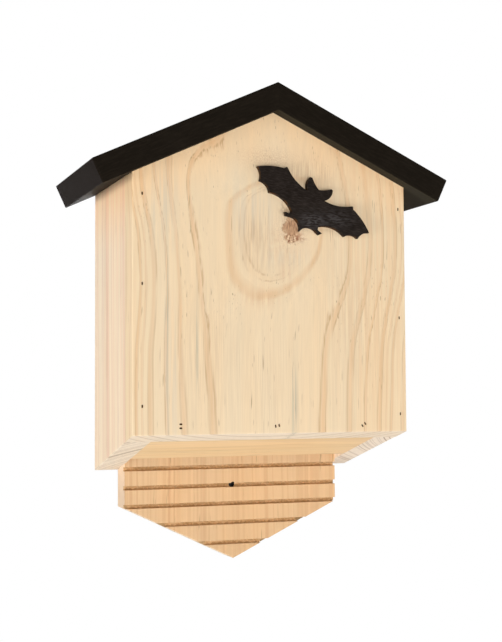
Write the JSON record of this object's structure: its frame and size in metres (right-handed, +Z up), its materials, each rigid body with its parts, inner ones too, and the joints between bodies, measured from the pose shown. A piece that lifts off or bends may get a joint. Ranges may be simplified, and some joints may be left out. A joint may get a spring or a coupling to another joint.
{
  "type": "bat box",
  "caption": "Wall-hung wooden bat box with a pitched overhanging roof, a slanted floor with a rear entrance slot, and a grooved landing board that ends in a point.",
  "frame": {"origin": "on the wall plane, in the middle of the box, level with the front panel's bottom edge", "axes": "+X to the right of someone who faces the box, +Y to the wall, +Z up"},
  "size_m": [0.297, 0.132, 0.383],
  "materials": {
    "front_pine": "planed bare pine, flat-sawn, with a red-brown knot",
    "side_pine": "planed bare pine, straight grain",
    "landing_pine": "planed bare pine, warmer and more streaked, with rough saw cuts",
    "floor_pine": "planed bare pine, grain from side to side",
    "roof_stain": "pine under a near-black opaque stain, satin",
    "emblem_stain": "thin board, black-brown stain on the face, brown cut edges",
    "brad_steel": "dull steel, sunk below the surface",
    "stained_brad": "dull steel under the roof's stain",
    "zinc_plate": "zinc-plated sheet",
    "zinc_screw": "zinc-plated"
  },
  "bodies": {
    "root": {"front_panel": "front_pine", "left_side": "side_pine", "right_side": "side_pine", "back_panel": "landing_pine", "floor_strip": "floor_pine", "roof_left": "roof_stain", "roof_right": "roof_stain", "bat_emblem": "emblem_stain", "front_left_brads": "brad_steel", "front_right_brads": "brad_steel", "floor_brads": "brad_steel", "back_left_brads": "brad_steel", "back_right_brads": "brad_steel", "roof_left_brads": "stained_brad", "roof_right_brads": "stained_brad", "hanger_plate": "zinc_plate", "hanger_screws": "zinc_screw"}
  },
  "joints": []
}
